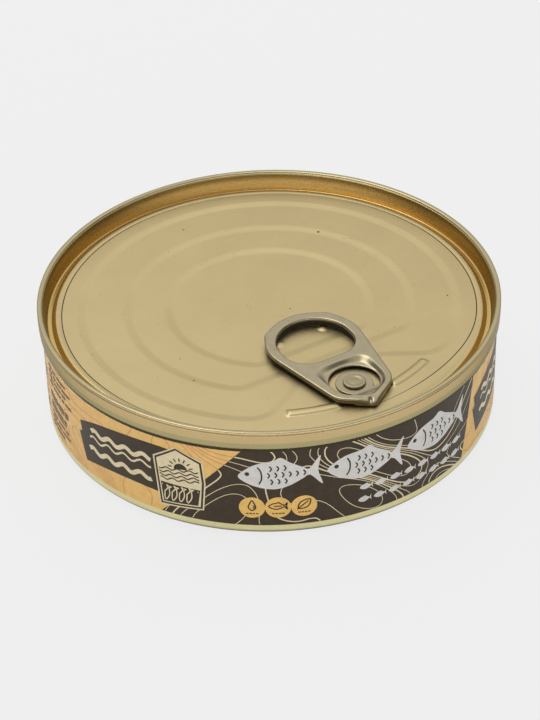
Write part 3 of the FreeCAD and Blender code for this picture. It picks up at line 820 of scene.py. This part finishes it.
def tab_outline():
    """Finger end nearly round, with two faint corners; straight sides; beaked nose."""
    reach = math.hypot(SHOULDER_ALONG - RING_CENTRE, SHOULDER_ACROSS)
    tangent = math.atan2(SHOULDER_ACROSS, SHOULDER_ALONG - RING_CENTRE) + math.acos(RING_RADIUS / reach)
    ring = np.linspace(tangent, 2 * math.pi - tangent, 121)
    corner = 134 * DEGREE
    swell = sum(np.exp(-((ring - middle) / 0.13) ** 2) for middle in (corner, 2 * math.pi - corner))
    radius = RING_RADIUS + 0.35 * swell
    ring = np.stack([RING_CENTRE + radius * np.cos(ring), radius * np.sin(ring)], -1)
    tip = NOSE_ALONG + 1.1 * (1 / math.sin(math.atan2(SHOULDER_ACROSS, NOSE_ALONG - SHOULDER_ALONG)) - 1)
    nose = rounded_line([(*ring[-1], 0), (SHOULDER_ALONG, -SHOULDER_ACROSS, 5.5), (tip, -0.6, 1.0),
                         (SHOULDER_ALONG, SHOULDER_ACROSS, 6.0), (*ring[0], 0)], 10, True)
    return np.concatenate([ring, nose[1:-1]])


STEP = 0.13                     # grid that the tab's shape is worked out on
axis_along = np.arange(7.6, 45.4, STEP)
axis_across = np.arange(-11.8, 11.8 + STEP, STEP)
axis_z = np.arange(PANEL_Z - 0.65, TAB_TOP + 0.3, STEP)
tab_along, tab_across = np.meshgrid(axis_along, axis_across, indexing="ij")
outer = outline_distance(tab_outline(), tab_along, tab_across)
hole_radius = RING_RADIUS - RING_BAND
hole_start = RING_CENTRE - hole_radius
hole = outline_distance(rounded_line([
    (hole_start, hole_radius, hole_radius - 0.01), (26.2, hole_radius, 5.5),
    (26.2, -hole_radius, 5.5), (hole_start, -hole_radius, hole_radius - 0.01)], 24, True),
    tab_along, tab_across)
from_rivet = np.hypot(tab_along - RIVET_ALONG, tab_across)
window = from_rivet - 5.4

# the pressed dish runs from the web to the nose, inside an even rim
dish = outline_distance(rounded_line([
    (28.2, 7.1, 2.6), (28.2, -6.8, 2.6), (38.9, -5.7, 4.8), (42.3, 0.2, 1.5), (38.9, 6.2, 4.8)],
    10, True), tab_along, tab_across)
slope = np.clip(-1.4 * dish / np.maximum(np.maximum(window, 0) - dish, 0.8), 0, 1)
slope = slope * slope * (3 - 2 * slope)
top = TAB_TOP - DISH_DEPTH * slope
# the beak droops and is pinched beside its tip
top -= BEAK_DROOP * np.clip((tab_along - 42.0) / 2.3, 0, 1) ** 1.3
off_crease = (tab_across + 1.2) * 0.83 + (tab_along - 43.2) * 0.55
along_crease = (tab_along - 43.2) * 0.83 - (tab_across + 1.2) * 0.55
top -= 0.5 * np.exp(-(off_crease / 0.38) ** 2) * np.clip((along_crease + 1.1) / 0.6, 0, 1)
bottom = np.full(tab_along.shape, TAB_FOOT)
nose_foot = np.clip((tab_along - 40.6) / 1.2, 0, 1) * np.clip((4.4 - np.abs(tab_across)) / 0.8, 0, 1)
bottom -= 0.40 * nose_foot

# the raw edge of the curl hangs lower round the finger hole; there it carries the curl's
# near-black painted shade down into the gap under the ring
raw_edge = np.clip((1.5 - hole) / 0.4, 0, 1) * np.clip((26.0 - tab_along) / 1.5, 0, 1)
lowest = np.minimum(bottom, panel_height(tab_along, tab_across) + 0.12)
bottom = np.maximum(bottom - EDGE_DROP * raw_edge, lowest)


def rounded_plate(flat, low, high, rounding):
    """Distance to a plate between two heights, with its edges rounded."""
    side = flat[..., None] + rounding
    tall = np.maximum(axis_z - high[..., None], low[..., None] - axis_z) + rounding
    outside = np.hypot(np.maximum(side, 0), np.maximum(tall, 0))
    return outside + np.minimum(np.maximum(side, tall), 0) - rounding


plate = rounded_plate(np.maximum.reduce([outer, -hole, -window]), bottom, top, 0.42)
# tongue, joined to the nose by its root
root = np.maximum(np.abs(tab_across) - 5.6, 38.2 - tab_along)
tongue_2d = np.minimum(from_rivet - 4.05, np.maximum(root, from_rivet - 6.3))
tongue_2d = np.maximum(tongue_2d, 1.6 - from_rivet)
rise = np.clip((tab_along - 38.6) / 2.2, 0, 1)
rise = rise * rise * (3 - 2 * rise) * 0.5
tongue = rounded_plate(tongue_2d, PANEL_Z + 0.03 + rise * 0.4, PANEL_Z + 0.42 + rise, 0.1)


def surface_net(values, origin, step):
    """Quad mesh of the zero level of a field on a grid, one point in each crossed cell."""
    inside = values < 0
    cells = np.array(values.shape) - 1
    sums, counts, crossings = np.zeros((*cells, 3)), np.zeros(cells), []
    for axis in range(3):
        others = [k for k in range(3) if k != axis]
        low, high = (tuple(slice(k, cells[i] + k) if i == axis else slice(None) for i in range(3))
                     for k in (0, 1))
        where = np.argwhere(inside[low] != inside[high])
        index = tuple(where.T)
        a, b = values[low][index], values[high][index]
        spots = where.astype(float)
        spots[:, axis] += a / (a - b)
        corners = []
        for off in ((1, 1), (0, 1), (0, 0), (1, 0)):
            cell = where.copy()
            cell[:, others] -= off
            corners.append(tuple(cell.T))
            np.add.at(sums, corners[-1], spots)
            np.add.at(counts, corners[-1], 1)
        crossings.append((corners, inside[low][index] == (axis != 1)))
    used = counts > 0
    number = np.full(used.shape, -1)
    number[used] = np.arange(used.sum())
    faces = []
    for corners, outward in crossings:
        quads = np.stack([number[corner] for corner in corners], -1)
        quads[~outward] = quads[~outward][:, ::-1]
        faces.append(quads)
    return sums[used] / counts[used][:, None] * step + origin, np.concatenate(faces)


net, net_faces = surface_net(np.minimum(plate, tongue),
                             np.array([axis_along[0], axis_across[0], axis_z[0]]), STEP)
net = np.stack([net[:, 1], -net[:, 0], net[:, 2]], -1)
tab = mesh_piece("tab_stamping", net, net_faces, rolled_steel("tin_plated_steel", "#A69B7F", 0.30))
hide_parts("pull_tab")

# below its rounded rim the curl is open: its low faces are painted near black, painted shade
# of the hollow and of the gap under the ring
tab.data.materials.append(mottled_finish("curl_painted_shade", "#1E190F", 0.7, 1.0, 0.3, 0.3, 0.3)[0])
middles = net[net_faces].mean(1)
near_nose = np.clip((-middles[:, 1] - 38.0) / 2.0, 0, 1)
spans = np.cross(net[net_faces[:, 2]] - net[net_faces[:, 0]], net[net_faces[:, 3]] - net[net_faces[:, 1]])
faces_up = spans[:, 2] > 0.3 * np.linalg.norm(spans, axis=1)
off_tongue = np.hypot(middles[:, 0], middles[:, 1] + RIVET_ALONG) > 5.25 + 1.2 * near_nose
curl_shade_faces = (middles[:, 2] < TAB_FOOT + 0.7 - 0.8 * near_nose) & ~faces_up & off_tongue
tab.data.polygons.foreach_set("material_index", curl_shade_faces.astype(np.int32))

# ------------------------ specks
# Dust and small faults in the lacquer, and one rust spot; flat flecks that lie
# on the lid and on the finger end of the tab, just thick enough to be seen.

RUST, DARK, DULL = "#7C4A2C", "#3C3322", "#8A7A55"
flecks = [(-19.3, 24.9, 0.40, RUST), (18.3, 35.3, 0.24, DARK), (15.3, -27.8, 0.24, DARK),
          (3.4, 3.4, 0.20, DARK), (6.8, -26.4, 0.18, DARK), (-37.0, -1.1, 0.34, DULL),
          (17.5, -9.0, 0.17, DARK), (17.5, -7.9, 0.12, DARK)]    # along, across, size, colour


def on_tab(along, across):
    """Whether a place lies where the tab covers the lid."""
    return along > 7.0 and abs(across) < 12.5


rng = np.random.default_rng(21)
for _ in range(150):
    reach, turn = 44.5 * math.sqrt(rng.uniform()), rng.uniform(0, 2 * math.pi)
    spot = (reach * math.cos(turn), reach * math.sin(turn))
    if not on_tab(*spot):
        flecks.append((*spot, 0.05 + 0.11 * rng.uniform() ** 2, DULL))
for kind, colour in (("rust", RUST), ("dark", DARK), ("dull", DULL)):
    points, faces = [], []
    for along, across, size, _ in [fleck for fleck in flecks if fleck[3] == colour]:
        turn = np.arange(9) * 2 * math.pi / 9
        ragged = size * rng.uniform(0.65, 1.1, 9)
        fleck_along, fleck_across = along + ragged * np.cos(turn), across + ragged * np.sin(turn)
        level = panel_height(fleck_along, fleck_across) + 0.008
        if on_tab(along, across):
            level = np.full(9, TAB_TOP + 0.004)
        faces.append([len(points) + k for k in range(9)])
        points += np.stack([fleck_across, -fleck_along, level], -1).tolist()
    # dry and matt, so a fleck stays dark where the lid shines
    mesh_piece("flecks_" + kind, points, faces,
               mottled_finish("fleck_" + kind, colour, 0.8, 0.3, 0.1, 0.4, 0.3)[0])

# ------------------------ camera and light
# One camera at three-quarter height, a studio that is brighter or darker by
# height and side, one soft box, and a floor of pale matt paper.

bpy.context.scene.view_settings.view_transform = "Standard"
DISTANCE, TILT, ROLL, TURN = 521.15, math.radians(36.226), math.radians(-1.617), math.radians(-30.0)
AIM = Vector((-0.132, 0.0, 8.779))
forward = Vector((0, math.cos(TILT), -math.sin(TILT)))
upward = Vector((0, math.sin(TILT), math.cos(TILT)))
right = Vector((1, 0, 0)) * math.cos(ROLL) + upward * math.sin(ROLL)
above = upward * math.cos(ROLL) - Vector((1, 0, 0)) * math.sin(ROLL)
spin = Matrix.Rotation(TURN, 3, "Z")
lens = bpy.data.cameras.new("camera")
lens.sensor_width = 36.0
lens.lens = 115.5
lens.clip_start = 0.01
camera = in_scene("camera", lens)
axes = Matrix((spin @ right, spin @ above, -(spin @ forward))).transposed()
camera.matrix_world = Matrix.Translation(spin @ (AIM - forward * DISTANCE) * MM) @ axes.to_4x4()
bpy.context.scene.camera = camera

world = bpy.data.worlds.new("studio")
world.use_nodes = True
bpy.context.scene.world = world
tree = world.node_tree
sky = add_node(tree, "TexCoord")
split = add_node(tree, "SeparateXYZ", {}, {"Vector": sky.outputs["Generated"]})
ahead = add_node(tree, "VectorMath", {"operation": "DOT_PRODUCT", 1: spin @ Vector((0, 1, 0))},
                 {0: sky.outputs["Generated"]})
squared = add_node(tree, "Math", {"operation": "MULTIPLY"},
                   {0: split.outputs["Z"], 1: split.outputs["Z"]})
level = add_node(tree, "Math", {"operation": "SUBTRACT", 0: 1.0}, {1: squared})
flat = add_node(tree, "Math", {"operation": "SQRT"}, {0: level})
bearing = add_node(tree, "Math", {"operation": "DIVIDE"}, {0: ahead.outputs["Value"], 1: flat})

# brightness of the studio by height, 0 at the horizon and 1 overhead
sides, front, back = (add_node(tree, "ValToRGB", {"stops": [(up, grey(level)) for up, level in stops]},
                               {"Fac": split.outputs["Z"]}) for stops in (
    [(0.0, 0.30), (0.6, 0.16), (0.85, 0.7), (1.0, 0.85)],
    [(0.0, 2.4), (0.24, 2.4), (0.33, 0.22), (0.78, 0.25), (0.9, 0.75), (1.0, 0.85)],
    [(0.0, 0.53), (0.34, 0.66), (0.59, 1.0), (0.77, 1.22), (0.9, 0.95), (1.0, 0.85)]))
mixed = sides
for ramp, low, high in ((front, -0.15, -0.7), (back, 0.1, 0.7)):
    share = add_node(tree, "MapRange", {"From Min": low, "From Max": high}, {"Value": bearing})
    mixed = add_node(tree, "Mix", {"data_type": "RGBA"},
                     {0: share, 6: mixed.outputs[0 if mixed is sides else 2],
                      7: ramp})
tree.links.new(mixed.outputs[2], tree.nodes["Background"].inputs["Color"])

# one large square soft box, behind and to the left
light = bpy.data.lights.new("soft_box_above", "AREA")
light.size = 0.5
light.energy = 2.0
lamp = in_scene("soft_box_above", light)
lamp.location = spin @ Vector((-0.25, 0.25, 0.9))
lamp.rotation_euler = (Vector((0, 0, 0.02)) - lamp.location).to_track_quat("-Z", "Y").to_euler()

floor_mesh = bpy.data.meshes.new("floor")
floor_mesh.from_pydata([(-2, -2, 0), (2, -2, 0), (2, 2, 0), (-2, 2, 0)], [], [(0, 1, 2, 3)])
floor = in_scene("floor", floor_mesh)
# matt paper: the camera and the metal see it evenly pale, with the tin's soft shadow on it
material, tree, shader = new_material("floor_paper", Roughness=0.9, Base_Color=linear("#EFEFEF"))
plain = add_node(tree, "Emission", {"Color": linear("#F1F1F1"), "Strength": 1.0})
seen = add_node(tree, "LightPath")
mirrored = add_node(tree, "Math", {"operation": "MULTIPLY", 1: 0.75},
                    {0: seen.outputs["Is Glossy Ray"]})
share = add_node(tree, "Math", {"operation": "MULTIPLY_ADD", 1: 0.9},
                 {0: seen.outputs["Is Camera Ray"], 2: mirrored})
paper = add_node(tree, "MixShader", {}, {0: share, 1: shader, 2: plain})
tree.links.new(paper.outputs["Shader"], tree.nodes["Material Output"].inputs["Surface"])
floor.data.materials.append(material)
